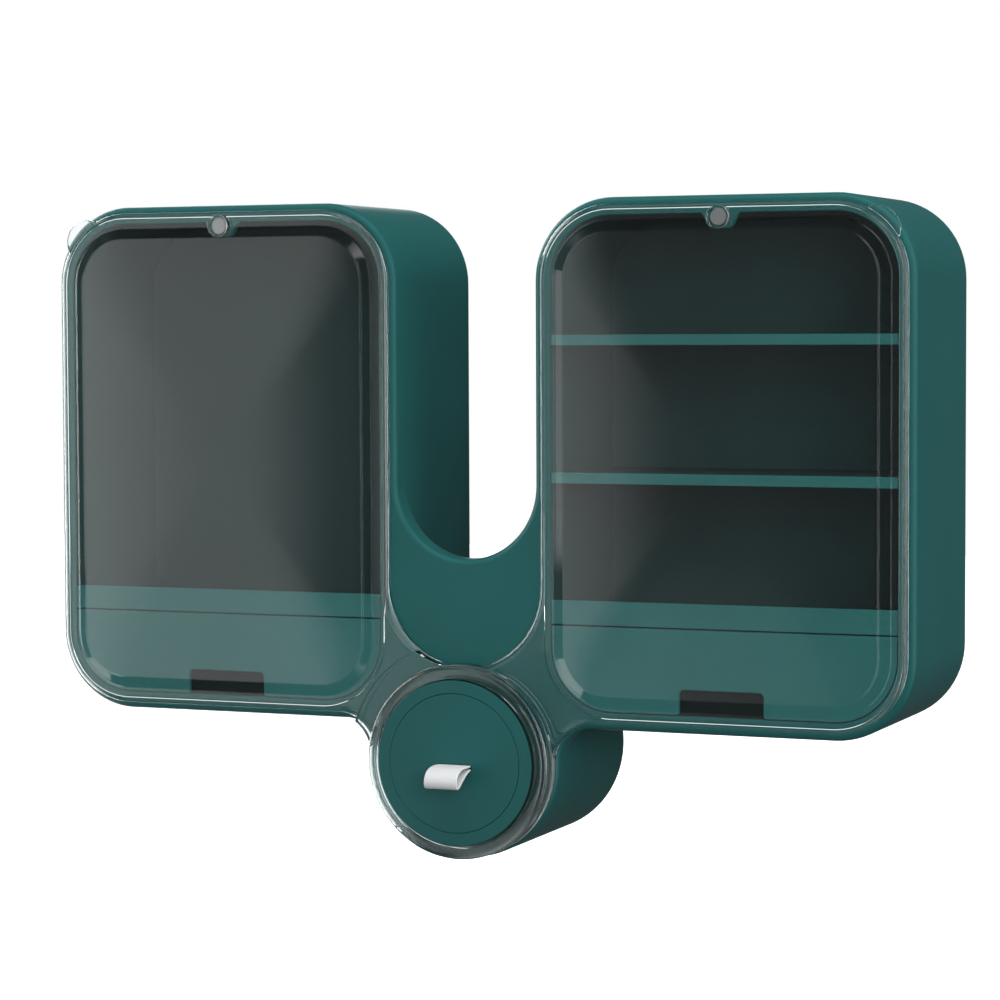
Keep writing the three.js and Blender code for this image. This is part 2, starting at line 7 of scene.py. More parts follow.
import bmesh
import bpy
from mathutils import Matrix, Vector
from mathutils.geometry import tessellate_polygon


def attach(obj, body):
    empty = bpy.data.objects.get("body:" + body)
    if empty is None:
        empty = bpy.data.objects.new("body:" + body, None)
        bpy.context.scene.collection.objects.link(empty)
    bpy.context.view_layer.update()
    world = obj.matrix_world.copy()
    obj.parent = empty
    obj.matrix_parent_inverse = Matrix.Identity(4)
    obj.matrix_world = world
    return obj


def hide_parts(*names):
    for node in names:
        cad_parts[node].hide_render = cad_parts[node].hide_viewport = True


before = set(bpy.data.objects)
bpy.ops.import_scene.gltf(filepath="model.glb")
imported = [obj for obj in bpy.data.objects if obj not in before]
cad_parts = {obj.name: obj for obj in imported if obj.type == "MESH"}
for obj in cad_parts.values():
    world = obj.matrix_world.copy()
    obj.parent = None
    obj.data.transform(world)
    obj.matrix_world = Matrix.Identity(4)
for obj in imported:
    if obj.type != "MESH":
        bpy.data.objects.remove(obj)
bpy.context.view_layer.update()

# ---------------------------------------------------------------- sizes, in millimetres

MM = 0.001
SAME_POINT = 1e-7                 # metres: closer points are joined into one

FRONT = -92.5                     # housing's front plane
BOX_X = 130.75                    # middle of the right box
BOX_Z = 144.7
BOX_HALF_WIDTH = 94.25
BOX_HALF_HEIGHT = 127.2
BOX_CORNER = 39.2
BOX_BOTTOM = BOX_Z - BOX_HALF_HEIGHT
BOX_INNER = BOX_X - BOX_HALF_WIDTH  # half the gap between the boxes
EDGE_ROUND = 3.2
FLANGE = 8.5
FLANGE_DEPTH = 3.0
FLANGE_LIP = 0.5                  # rounding of the flange's inner edge
WALL = 3.0
WEB_TOP = 134.3
WEB_DEPTH = 12.0
WEB_LAP = 2.0                     # how far the web's back runs under its edges
WEB_LAP_CORNER = 4.0
WEB_LAP_TOP = WEB_TOP - 12.0
NECK_FILLET = 16.8
HUB_RADIUS = 48.2
HUB_WALL = 2.5

RIM_FRONT = -96.7                 # door's rim and neck
PANEL_EDGE_FRONT = -98.2          # raised panel where its bevel ends
PANEL_CROWN = 1.9                 # how far the panel bulges in its middle
PANEL_STEP = 0.03                 # how far the crown starts ahead of the bevel
DOOR_BACK = -92.8
DOOR_SKIN = 2.2
RIM_ROUND = (4.5, 3.2)            # door's rounded edge: how far in, and how deep
CREASE = 0.5                      # half the width of the soft creases round the panel
RIM_INNER = 11.2                  # rim's inner edge, from the housing's outline
PANEL_EDGE = 16.6                 # panel's edge, from the housing's outline
DOOR_SKIRT = 5.7                  # inside of the door's side wall, from the housing's outline
BIGHT_Z = 85.7
BIGHT_RADIUS = BOX_INNER + EDGE_ROUND
RING_RADIUS = 47.3
RING_BORE = 39.8
RIGHT_RING_FRONT = -98.3
RIGHT_RING_ROUND = 1.6
LEFT_RING_BACK = -99.9
LEFT_RING_FRONT = -105.9
LEFT_RING_ROUND = 2.6
LEFT_RING_INNER = 41.1
NECK_CUT = 48.0                   # left neck's clearance round the right ring
STEP_REACH = 58.0
STEP_FRONT = -101.5
STEP_INSET = 0.3                  # left neck's step, from the neck's outline
LAP = 0.8                         # how far a door's joined solids run into each other
DOOR_TOOLS = (-99.0, -90.0)       # depths between which the tools that trim a door's edge reach
CRISP = 0.01                      # rounding of a tool's own edges

EAR_X = 206.8
EAR_Z = 254.3
EAR_RADIUS = 11.3
EAR_FRONT = -96.1
EAR_BACK = -93.9
EAR_ROUND = 0.7
EAR_LAP = 3.0                     # how far it runs in under the door's rim
MAGNET_Z = 261.4
MAGNET_RADIUS = 4.0
MAGNET_GAP = 0.3
MAGNET_ROUND = 0.35
DOOR_MAGNET = (-95.2, -93.2)      # front and back
CATCH_MAGNET = (FRONT + 0.2, FRONT + 1.9)
SOCKET_FRONT = -95.5
BOSS_RADIUS = 5.6
BOSS_FRONT = -98.5
BOSS_ROUND = 0.5
CATCH_HALF_WIDTH = 6.9            # tab behind the door's magnet
CATCH_SHOULDER = (8.6, 1.6)       # where it starts to widen: half its width there, and from its top
CATCH_ROOT = 10.5                 # half its width at the flange
CATCH_LAP = 0.6
CATCH_DROP = 5.6                  # from the magnet's middle to its end
CATCH_CORNER = 3.6

JOURNAL_FRONT = -107.3
LIP_RADIUS = 40.7
LIP_BACK = -104.9
LIP_EDGE = 0.35                   # depth of the lip's softened front edge
LIP_TAPER = 0.45                  # how much narrower the lip is behind that edge than at its back
LIP_SEAT = 2.9                    # from the journal's front to the left ring's seat for the lip
# Band of painted shade round the lip's side: its gap from the lip and its thickness.
SHADE_BAND_GAP = 0.01
SHADE_BAND_THICKNESS = 0.03
BARREL_RADIUS = 39.4
BARREL_BACK = -84.5
BARREL_WALL = 2.0
JOURNAL_BORE = 34.2
SLEEVE_RADIUS = 36.2
SLEEVE_BACK = -3.3
DRAWER_RADIUS = 33.8
DISC_HOLE = 34.0
DRAWER_FACE = 2.4

TAB_WIDTH = 17.0
TAB_THICKNESS = 1.2
TAB_Z = -2.2
TAB_SLOT = (0.5, 2.0, 0.8)        # side gap, half height and corner of its slot in the drawer's front
PIN_BEHIND = 5.6                  # from the journal's front to the axis of the strap's pin
PIN_RADIUS = 1.5
PIN_GAP = 0.3

TRIM_FRONT = -91.9
TRIM_DEPTH = 2.4
LINER_FRONT = -89.2
LINER_BACK = -6.0
LINER_WALL = 1.6
DRAWER_TOP = 67.2
DRAWER_GAP = 0.4
NOTCH_HALF_WIDTH = 21.0
NOTCH_TOP = 38.6
NOTCH_CORNER = 2.5                # at the notch's top
NOTCH_MOUTH = 1.5                 # at its bottom

PLATE_Z = 190.0                   # adhesive plate in each box's back
PLATE_HALF_WIDTH = 30.0
PLATE_HALF_HEIGHT = 45.0
PLATE_CORNER = 5.0
PLATE_BACK_GAP = 0.3
POCKET_FLOOR = -2.1
PANEL_BACK = -1.0                 # back panel inside its raised frame
FRAME_WIDTH = 8.0

SCREW_CIRCLE = 39.6
SCREW_ANGLES = (90, 210, 330)
SCREW_HOLE = 3.6
SCREW_HEAD = 3.2
RECESS = (1.7, 0.4)               # half the length and half the width of one arm of its cross
RECESS_FLOOR = -1.3

CORNER_STEPS = 18
CIRCLE_STEPS = 144
SHARP = math.radians(32)
SIDES = {"left": -1, "right": 1}

# ---------------------------------------------------------------- outlines: lists of (x, z), anticlockwise


def arc(cx, cz, radius, start, end, steps=CORNER_STEPS):
    angles = [math.radians(start + (end - start) * i / steps) for i in range(steps + 1)]
    return [(cx + radius * math.cos(a), cz + radius * math.sin(a)) for a in angles]


def circle(radius, steps=CIRCLE_STEPS, cx=0.0, cz=0.0):
    return arc(cx, cz, radius, 0, 360, steps)[:-1]


def rounded_rect(cx, cz, half_width, half_height, radius, steps=CORNER_STEPS):
    x, z = half_width - radius, half_height - radius
    return (
        arc(cx + x, cz + z, radius, 0, 90, steps)
        + arc(cx - x, cz + z, radius, 90, 180, steps)
        + arc(cx - x, cz - z, radius, 180, 270, steps)
        + arc(cx + x, cz - z, radius, 270, 360, steps)
    )


def box_outline(side):
    return rounded_rect(side * BOX_X, BOX_Z, BOX_HALF_WIDTH, BOX_HALF_HEIGHT, BOX_CORNER)


def mirrored(outline, side):
    return outline if side > 0 else [(-x, z) for x, z in reversed(outline)]


def cleaned(outline):
    """The outline without points that repeat the one before."""
    kept = [p for i, p in enumerate(outline) if math.dist(p, outline[i - 1]) > 1e-4]
    return kept


def inset(outline, distance, closed=True):
    """The outline moved into the solid, which is on its left."""
    count = len(outline)
    moved = []
    for i, (x, z) in enumerate(outline):
        before = outline[i - 1] if closed or i else None
        after = outline[(i + 1) % count] if closed or i < count - 1 else None
        normals = []
        for a, b in ((before, (x, z)), ((x, z), after)):
            if a and b:
                length = math.dist(a, b)
                normals.append(((a[1] - b[1]) / length, (b[0] - a[0]) / length))
        nx = sum(n[0] for n in normals)
        nz = sum(n[1] for n in normals)
        scale = 2 / (nx * nx + nz * nz) if len(normals) == 2 else 1
        moved.append((x + distance * nx * scale, z + distance * nz * scale))
    return moved


def neck_foot(bottom, hub_radius, fillet):
    """Lower edge of a neck on the right, from the hub outwards, and the angle where it leaves the hub."""
    z = bottom - fillet
    x = math.sqrt((hub_radius + fillet) ** 2 - z * z)
    angle = math.degrees(math.atan2(z, x))
    return arc(x, z, fillet, 180 + angle, 90), angle


def box_sides(by=0.0):
    """Right box inset by this much, from the neck's foot round its outer side and top to its inner side."""
    x, z = BOX_HALF_WIDTH - BOX_CORNER, BOX_HALF_HEIGHT - BOX_CORNER
    radius = BOX_CORNER - by
    return (
        arc(BOX_X + x, BOX_Z - z, radius, 270, 360)
        + arc(BOX_X + x, BOX_Z + z, radius, 0, 90)
        + arc(BOX_X - x, BOX_Z + z, radius, 90, 180)
    )


def housing_outline():
    foot, angle = neck_foot(BOX_BOTTOM, HUB_RADIUS, NECK_FILLET)
    right = arc(0, 0, HUB_RADIUS, -90, angle, 40) + foot + box_sides()
    bight = arc(0, WEB_TOP, BOX_INNER, 0, -180, 40)
    return cleaned(right + bight + mirrored(right, -1))


def door_outline():
    """Right door with its neck and ring."""
    foot, angle = neck_foot(BOX_BOTTOM + EDGE_ROUND, RING_RADIUS, NECK_FILLET + EDGE_ROUND)
    # The bight's circle crosses the ring's at this height.
    z = (RING_RADIUS**2 - BIGHT_RADIUS**2 + BIGHT_Z**2) / (2 * BIGHT_Z)
    x = math.sqrt(RING_RADIUS**2 - z * z)
    on_ring = math.degrees(math.atan2(z, x))
    on_bight = math.degrees(math.atan2(z - BIGHT_Z, x))
    ring = arc(0, 0, RING_RADIUS, on_ring, 360 + angle, 110)
    bight = arc(0, BIGHT_Z, BIGHT_RADIUS, 0, on_bight, 24)
    return cleaned(ring + foot + box_sides(EDGE_ROUND) + bight)


# ---------------------------------------------------------------- profiles: lists of (inset, y)


def quarter(edge, depth, across, deep, steps):
    """A rounded edge, from the side wall at this depth to the face, which lies deep in front of it."""
    angles = [math.radians(90 * i / steps) for i in range(steps + 1)]
    return [(edge + across * (1 - math.cos(a)), depth - deep * math.sin(a)) for a in angles]


def both_edges(front, back, front_round, back_round, front_steps, back_steps):
    """A plate's side wall with both of its edges rounded, from its back face to its front face."""
    back_edge = quarter(0, back - back_round, back_round, -back_round, back_steps)
    return back_edge[::-1] + quarter(0, front + front_round, front_round, front_round, front_steps)


# ---------------------------------------------------------------- meshes


class Builder:
    """Collects a mesh in millimetres, from outlines in the XZ plane set at depths along Y."""

    def __init__(self):
        self.mesh = bmesh.new()

    def loop(self, outline, y):
        return [self.mesh.verts.new((x * MM, y * MM, z * MM)) for x, z in outline]

    def side_loop(self, outline, x):
        """Loop from (y, z) points, in the plane at x."""
        return [self.mesh.verts.new((x * MM, y * MM, z * MM)) for y, z in outline]

    def bridge(self, first, second, closed=True):
        count = len(first)
        for i in range(count if closed else count - 1):
            j = (i + 1) % count
            self.mesh.faces.new((first[i], first[j], second[j], second[i]))

    def sweep(self, outline, profile, closed=True):
        """Walls through the outline inset and set back as each (inset, y) says. Returns its end loops."""
        loops = [self.loop(inset(outline, distance, closed), y) for distance, y in profile]
        for first, second in zip(loops, loops[1:]):
            self.bridge(first, second, closed)
        return loops[0], loops[-1]

    def face(self, *loops):
        """Flat face inside the first loop and outside the others."""
        verts = [v for loop in loops for v in loop]
        flat = [[Vector((v.co.x, v.co.z, 0)) for v in loop] for loop in loops]
        for triangle in tessellate_polygon(flat):
            if len(set(triangle)) == 3:
                self.mesh.faces.new([verts[i] for i in triangle])

    def dome(self, ring, centre, bulge, steps=14):
        """Crowned face inside a loop of verts, bulging towards -Y by bulge millimetres."""
        edge = [v.co.copy() for v in ring]
        middle = Vector((centre[0] * MM, edge[0].y, centre[1] * MM))
        previous = ring
        for i in range(1, steps):
            scale = 1 - i / steps
            rise = Vector((0, -bulge * MM * (1 - scale * scale), 0))
            current = [self.mesh.verts.new(middle + (co - middle) * scale + rise) for co in edge]
            self.bridge(previous, current)
            previous = current
        top = self.mesh.verts.new(middle + Vector((0, -bulge * MM, 0)))
        for i, v in enumerate(previous):
            self.mesh.faces.new((v, previous[(i + 1) % len(previous)], top))

    def turned(self, profile):
        """A closed (radius, y) profile turned about the hub's axis."""
        loops = [self.loop(circle(radius), y) for radius, y in profile]
        for first, second in zip(loops, loops[1:] + loops[:1]):
            self.bridge(first, second)

    def plate(self, outline, front, back, front_round, back_round=0.3, holes=()):
        """A closed plate with rounded edges, and holes with rounded edges through it."""
        profile = both_edges(front, back, front_round, back_round, 6, 3)
        ends = [self.sweep(outline, profile)]
        for hole in holes:
            ends.append(self.sweep(hole, [(-distance, y) for distance, y in profile]))
        for loops in zip(*ends):
            self.face(*loops)

    def disc(self, outline, front, back, rounding, steps):
        """A closed disc with rounded edges."""
        for end in self.sweep(outline, both_edges(front, back, rounding, rounding, steps, steps - 1)):
            self.face(end)

    def data(self, name):
        """The finished mesh, as Blender's data."""
        bmesh.ops.remove_doubles(self.mesh, verts=self.mesh.verts, dist=SAME_POINT)
        bmesh.ops.recalc_face_normals(self.mesh, faces=self.mesh.faces)
        data = bpy.data.meshes.new(name)
        self.mesh.to_mesh(data)
        self.mesh.free()
        return data

    def finish(self, name, material, body, replaces):
        return piece(name, self.data(name), material, body, replaces)


def piece(name, data, material, body, replaces):
    """A visible piece that rides on a body, and stands for the CAD nodes that it replaces."""
    data.shade_smooth()
    data.set_sharp_from_angle(angle=SHARP)
    obj = bpy.data.objects.new(name, data)
    bpy.context.scene.collection.objects.link(obj)
    data.materials.clear()
    data.materials.append(material)
    normals = obj.modifiers.new("normals", "WEIGHTED_NORMAL")
    normals.keep_sharp = True
    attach(obj, body)
    if replaces:
        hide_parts(*replaces)
    return obj


def helper(data):
    obj = bpy.data.objects.new("helper", data)
    bpy.context.scene.collection.objects.link(obj)
    return obj


def solid(make):
    """A helper object from what make(builder) builds."""
    builder = Builder()
    make(builder)
    return helper(builder.data("helper"))


def tool(outline, front, back, holes=()):
    """A helper object with crisp edges, to cut others with."""
    return solid(lambda build: build.plate(outline, front, back, CRISP, CRISP, holes))


def rounded_disc(x, z, radius, front, back, rounding):
    return solid(lambda build: build.disc(circle(radius, 56, x, z), front, back, rounding, 5))


def combined(target, other, operation):
    """Boolean of two closed objects. Both are used up."""
    modifier = target.modifiers.new("boolean", "BOOLEAN")
    modifier.operation = operation
    modifier.solver = "EXACT"
    modifier.object = other
    graph = bpy.context.evaluated_depsgraph_get()
    data = bpy.data.meshes.new_from_object(target.evaluated_get(graph))
    for used in (target, other):
        bpy.data.objects.remove(used)
    return helper(data)


def finished(made, name, material, body, replaces):
    """A visible piece from a helper object, which is used up."""
    data = made.data
    bpy.data.objects.remove(made)
    data.name = name
    return piece(name, data, material, body, replaces)


# ---------------------------------------------------------------- materials

NOISE_LOW, NOISE_HIGH = 0.3, 0.7  # between which nearly all of a noise lies
CLOUD_SCALE = 18.0                # per metre, as for the grains and scratches
SCRATCH_SCALE = 900.0
SCRATCH_DEPTH = 0.00001           # metres
POLISH_SCALE = 60.0
PLASTIC_IOR = 1.46
CLEAR_IOR = 1.49
CLEAR_TINT = (0.93, 0.975, 0.972)


def nodes_of(name):
    material = bpy.data.materials.new(name)
    material.use_nodes = True
    tree = material.node_tree
    shader = tree.nodes["Principled BSDF"]
    where = tree.nodes.new("ShaderNodeTexCoord").outputs["Object"]
    return material, tree, shader, where


def noise(tree, where, scale, detail, stretch=None):
    if stretch:
        mapping = tree.nodes.new("ShaderNodeMapping")
        mapping.inputs["Scale"].default_value = stretch
        tree.links.new(where, mapping.inputs["Vector"])
        where = mapping.outputs["Vector"]
    node = tree.nodes.new("ShaderNodeTexNoise")
    node.inputs["Scale"].default_value = scale
    node.inputs["Detail"].default_value = detail
    tree.links.new(where, node.inputs["Vector"])
    return node.outputs["Fac"]


def ranged(tree, factor, low, high):
    """A noise spread out from low to high."""
    node = tree.nodes.new("ShaderNodeMapRange")
    node.inputs["From Min"].default_value = NOISE_LOW
    node.inputs["From Max"].default_value = NOISE_HIGH
    node.inputs["To Min"].default_value = low
    node.inputs["To Max"].default_value = high
    tree.links.new(factor, node.inputs["Value"])
    return node.outputs["Result"]


def bump(tree, shader, height, distance):
    node = tree.nodes.new("ShaderNodeBump")
    node.inputs["Distance"].default_value = distance
    node.inputs["Strength"].default_value = 1.0
    tree.links.new(height, node.inputs["Height"])
    tree.links.new(node.outputs["Normal"], shader.inputs["Normal"])


def plastic(name, dark, light, roughness, grain=2600.0, depth=0.0000004, specular=0.5):
    """Moulded plastic: a fine even grain, a faint cloudiness and roughness that varies with it."""
    material, tree, shader, where = nodes_of(name)
    cloud = noise(tree, where, CLOUD_SCALE, 2.0)
    fine = noise(tree, where, grain, 2.0)
    ramp = tree.nodes.new("ShaderNodeValToRGB")
    stops = ((NOISE_LOW, dark), (NOISE_HIGH, light))
    for element, (position, colour) in zip(ramp.color_ramp.elements, stops):
        element.position = position
        element.color = (*colour, 1)
    tree.links.new(cloud, ramp.inputs["Fac"])
    tree.links.new(ramp.outputs["Color"], shader.inputs["Base Color"])
    tree.links.new(ranged(tree, fine, *roughness), shader.inputs["Roughness"])
    shader.inputs["IOR"].default_value = PLASTIC_IOR
    shader.inputs["Specular IOR Level"].default_value = specular
    bump(tree, shader, fine, depth)
    return material


def clear_plastic(name):
    """Polished clear plastic, whose polish varies a little."""
    material, tree, shader, where = nodes_of(name)
    fine = noise(tree, where, POLISH_SCALE, 2.0)
    shader.inputs["Base Color"].default_value = (*CLEAR_TINT, 1)
    shader.inputs["Transmission Weight"].default_value = 1.0
    shader.inputs["IOR"].default_value = CLEAR_IOR
    tree.links.new(ranged(tree, fine, 0.02, 0.035), shader.inputs["Roughness"])
    return material


def metal(name, colour, roughness, stretch):
    """Plated or brushed metal, with fine scratches one way."""
    material, tree, shader, where = nodes_of(name)
    scratches = noise(tree, where, SCRATCH_SCALE, 4.0, stretch)
    shader.inputs["Base Color"].default_value = (*colour, 1)
    shader.inputs["Metallic"].default_value = 1.0
    tree.links.new(ranged(tree, scratches, *roughness), shader.inputs["Roughness"])
    bump(tree, shader, scratches, SCRATCH_DEPTH)
    return material


GREEN = plastic(
    "green_plastic", (0.0070, 0.0665, 0.0650), (0.0082, 0.0735, 0.0720), (0.34, 0.46), specular=0.28)
# Lighter copy of the housing's green: painted light, for the parts inside the boxes and on the back.
GREEN_PAINTED_LIGHT = plastic(
    "green_painted_light", (0.0142, 0.0935, 0.0900), (0.0164, 0.1045, 0.1005), (0.44, 0.56), specular=0.25)
# Darker copy of the housing's green: painted shade, for the deep shade inside the boxes.
GREEN_PAINTED_SHADE = plastic(
    "green_painted_shade", (0.0102, 0.0385, 0.0380), (0.0116, 0.0430, 0.0425), (0.54, 0.62), specular=0.2)
# Darkest copy of the housing's green: painted shade, for the drawer trays deep inside and the band in the
# ring's shade.
GREEN_PAINTED_DEEP_SHADE = plastic(
    "green_painted_deep_shade", (0.0018, 0.0058, 0.0058), (0.0024, 0.0074, 0.0074), (0.6, 0.7), specular=0.1)
WHITE = plastic(
    "white_strap", (0.455, 0.465, 0.475), (0.485, 0.495, 0.505), (0.5, 0.62), 900.0, 0.00003)
FOAM = plastic(
    "adhesive_foam", (0.66, 0.67, 0.66), (0.78, 0.79, 0.78), (0.75, 0.95), 500.0, 0.0002)
CLEAR = clear_plastic("clear_plastic")
MAGNET = metal("magnet_plating", (0.42, 0.41, 0.40), (0.28, 0.42), (1.0, 1.0, 12.0))
STEEL = metal("screw_steel", (0.45, 0.46, 0.47), (0.3, 0.45), (1.0, 1.0, 1.0))

# ---------------------------------------------------------------- housing


def make_housing():
    """Both boxes' walls, the web between them and the hub's wall, as one open-backed shell."""
    build = Builder()
    start = FRONT + EDGE_ROUND
    under_flange = FRONT + FLANGE_DEPTH
    edge = build.sweep(housing_outline(), quarter(0, start, EDGE_ROUND, EDGE_ROUND, 8))[1]
    outer_back = [(0, start), (0, -0.8), (0.25, -0.2), (0.8, 0)]
    inner_back = [(WALL - 0.5, 0), (WALL, -0.5), (WALL, under_flange)]
    flange = [
        (FLANGE, under_flange), (FLANGE, FRONT + FLANGE_LIP),
        (FLANGE - 0.15, FRONT + 0.15), (FLANGE - FLANGE_LIP, FRONT),
    ]
    mouths = []
    for side in SIDES.values():
        mouths.append(build.sweep(box_outline(side), outer_back + inner_back + flange)[1])
    hub_back = [(HUB_WALL - 0.4, 0), (HUB_WALL, -0.4), (HUB_WALL, under_flange)]
    build.sweep(circle(HUB_RADIUS), outer_back + hub_back)
    bore = build.sweep(circle(BARREL_RADIUS + 0.3), [(0, under_flange), (0, FRONT)])[1]
    build.face(edge, *mouths, bore)

    # Web's inner edges and back, between the boxes.
    back = FRONT + WEB_DEPTH
    rim = [
        (0, start), (0, back - 0.6), (0.2, back - 0.2), (0.6, back),
        (WALL - 0.6, back), (WALL, back - 0.4), (WALL, under_flange),
    ]
    build.sweep(arc(0, WEB_TOP, BOX_INNER, 0, -180, 40), rim, closed=False)
    foot, _ = neck_foot(BOX_BOTTOM, HUB_RADIUS, NECK_FILLET)
    for side in SIDES.values():
        build.sweep(mirrored(foot, side), rim, closed=False)
    corner = arc(
        BOX_INNER + BOX_CORNER, BOX_BOTTOM + BOX_CORNER, BOX_CORNER - WEB_LAP_CORNER, 180, 270, 10)
    lower = list(reversed(inset(foot, WEB_LAP, closed=False)))
    right = [(BOX_INNER + WEB_LAP_CORNER, WEB_LAP_TOP)] + corner + lower + [(0, 0)]
    top = arc(0, WEB_TOP, BOX_INNER + WEB_LAP, -165, -15, 24)
    left = [(-x, z) for x, z in reversed(right)][1:]
    build.face(build.loop(top + right + left, under_flange))
    build.finish("housing_shell", GREEN, "housing", ["hub_frame", "left_case", "right_case"])


def make_catch_tab(name, side):
    """Tab that hangs from the flange behind the door's magnet."""
    x = side * BOX_X
    top = BOX_Z + BOX_HALF_HEIGHT - FLANGE + CATCH_LAP
    corner_x, corner_z = CATCH_HALF_WIDTH - CATCH_CORNER, MAGNET_Z - CATCH_DROP + CATCH_CORNER
    shoulder, shoulder_z = CATCH_SHOULDER[0], top - CATCH_SHOULDER[1]
    outline = (
        arc(x + corner_x, corner_z, CATCH_CORNER, 275, 345, 8)
        + [(x + shoulder, shoulder_z), (x + CATCH_ROOT, top)]
        + [(x - CATCH_ROOT, top), (x - shoulder, shoulder_z)]
        + arc(x - corner_x, corner_z, CATCH_CORNER, 195, 265, 8)
    )
    hole = mirrored(circle(MAGNET_RADIUS + MAGNET_GAP, 48, BOX_X, MAGNET_Z), side)
    build = Builder()
    # Its front lies a hair behind the housing's, so that the two faces don't flicker.
    build.plate(outline, FRONT + 0.02, FRONT + FLANGE_DEPTH, 0.5, holes=[hole])
    build.finish(f"{name}_catch_tab", GREEN, "housing", ())


def make_magnet(name, side, body, depths):
    build = Builder()
    outline = circle(MAGNET_RADIUS, 48, side * BOX_X, MAGNET_Z)
    build.disc(outline, *depths, MAGNET_ROUND, 4)
    build.finish(f"{name}_disc", MAGNET, body, [name])


# ---------------------------------------------------------------- insides of the boxes


def make_liner(name, side):
    """Lining of a box's walls and back, in the darker green that paints the deep shade inside the box."""
    build = Builder()
    outline = box_outline(side)
    outer, inner = FLANGE - LINER_WALL, FLANGE
    floor = LINER_BACK - LINER_WALL
    ends = build.sweep(outline, [
        (outer, LINER_BACK - 0.6), (outer, LINER_FRONT), (inner, LINER_FRONT), (inner, floor - 3),
        (inner + 0.9, floor - 0.9), (inner + 3, floor),
    ])
    build.face(ends[1])
    build.face(build.loop(inset(outline, outer), LINER_BACK))
    build.finish(f"{name}_lining", GREEN_PAINTED_SHADE, "housing", [f"{name}_liner"])


def drawer_outline(side):
    """Front of a box's drawer, with a notch in its lower edge to pull it by."""
    margin = FLANGE + DRAWER_GAP
    x, bottom, round_top = side * BOX_X, BOX_BOTTOM + margin, 0.8
    half, radius = BOX_HALF_WIDTH - margin, BOX_CORNER - margin
    mouth, mouth_z = NOTCH_HALF_WIDTH + NOTCH_MOUTH, bottom + NOTCH_MOUTH
    corner, corner_z = NOTCH_HALF_WIDTH - NOTCH_CORNER, NOTCH_TOP - NOTCH_CORNER
    notch = (
        arc(x - mouth, mouth_z, NOTCH_MOUTH, 270, 360, 5)
        + arc(x - corner, corner_z, NOTCH_CORNER, 180, 90, 6)
        + arc(x + corner, corner_z, NOTCH_CORNER, 90, 0, 6)
        + arc(x + mouth, mouth_z, NOTCH_MOUTH, 180, 270, 5)
    )
    return cleaned(
        arc(x + half - round_top, DRAWER_TOP - round_top, round_top, 0, 90, 3)
        + arc(x - half + round_top, DRAWER_TOP - round_top, round_top, 90, 180, 3)
        + arc(x - half + radius, bottom + radius, radius, 180, 270)
        + notch
        + arc(x + half - radius, bottom + radius, radius, 270, 360)
    )


def make_drawer_front(name, side):
    build = Builder()
    build.plate(drawer_outline(side), TRIM_FRONT, TRIM_FRONT + TRIM_DEPTH, 0.5)
    build.finish(f"{name}_drawer_face", GREEN_PAINTED_LIGHT, "housing", [f"{name}_drawer_front"])


def soften(name, material, width=0.0004):
    """Material for a CAD node that stays, with its square edges rounded."""
    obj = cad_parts[name]
    if not obj.data.materials:
        obj.data.materials.append(material)
    for slot in obj.material_slots:
        slot.material = material
    if width:
        bevel = obj.modifiers.new("edges", "BEVEL")
        bevel.width = width
        bevel.segments = 3
        bevel.limit_method = "ANGLE"
        bevel.angle_limit = math.radians(50)
        bevel.harden_normals = False


# ---------------------------------------------------------------- doors


def panel_profile(back):
    """Soft creases where the rim rises to the raised panel, this far behind the door's front."""
    rise = CREASE * (RIM_FRONT - PANEL_EDGE_FRONT) / (PANEL_EDGE - RIM_INNER)
    return [
        (RIM_INNER - CREASE, RIM_FRONT + back),
        (RIM_INNER + CREASE, RIM_FRONT + back - rise),
        (PANEL_EDGE - CREASE, PANEL_EDGE_FRONT + back + rise),
        (PANEL_EDGE + CREASE, PANEL_EDGE_FRONT + back - PANEL_STEP),
    ]


def door_plate(build, side):
    """Rim, raised panel with its hollow back, and neck, as one closed solid."""
    outline = mirrored(door_outline(), side)
    across, deep = RIM_ROUND
    rim = [(0.5, DOOR_BACK), (0, DOOR_BACK - 0.5)] + quarter(0, RIM_FRONT + deep, across, deep, 8)
    edge = build.sweep(outline, rim)
    bore = build.sweep(circle(RING_BORE), [(0, DOOR_BACK), (0, RIM_FRONT)])
    box, middle = box_outline(side), (side * BOX_X, BOX_Z)
    front = build.sweep(box, panel_profile(0))
    build.face(edge[1], front[0], bore[1])
    build.dome(front[1], middle, PANEL_CROWN)
    skin = RIM_FRONT + DOOR_SKIN
    skirt = [(DOOR_SKIRT, DOOR_BACK), (DOOR_SKIRT + 0.3, skin + 0.3), (DOOR_SKIRT + 0.6, skin)]
    hollow = build.sweep(box, skirt + panel_profile(DOOR_SKIN))
    build.face(edge[0], hollow[0], bore[0])
    build.dome(hollow[1], middle, PANEL_CROWN)


def door_ring(build, front, back, inner_front, front_round):
    """Ring with a softly rounded front, closed round the hub's axis."""
    profile = [(RING_BORE, back), (RING_RADIUS - 0.4, back), (RING_RADIUS, back - 0.4)]
    profile += quarter(RING_RADIUS, front + front_round, -front_round, front_round, 8)
    profile += [(inner_front + 0.6, front), (inner_front, front + 0.5)]
    if inner_front > RING_BORE:
        seat = JOURNAL_FRONT + LIP_SEAT
        profile += [(inner_front, seat), (RING_BORE, seat)]
    build.turned(profile)


def left_step():
    """Stepped part of the left door's neck, which passes over the right door's ring."""
    neck = inset(mirrored(door_outline(), SIDES["left"]), STEP_INSET)
    step = solid(lambda build: build.plate(neck, STEP_FRONT, RIM_FRONT + LAP, 0.5, 0.2))
    behind = DOOR_TOOLS[1]
    reach = tool(circle(STEP_REACH), STEP_FRONT - 2, behind, [circle(RING_RADIUS - LAP)])
    step = combined(step, reach, "INTERSECT")
    below = tool(circle(NECK_CUT), LEFT_RING_BACK, behind, [circle(RING_RADIUS - 2 * LAP)])
    return combined(step, below, "DIFFERENCE")


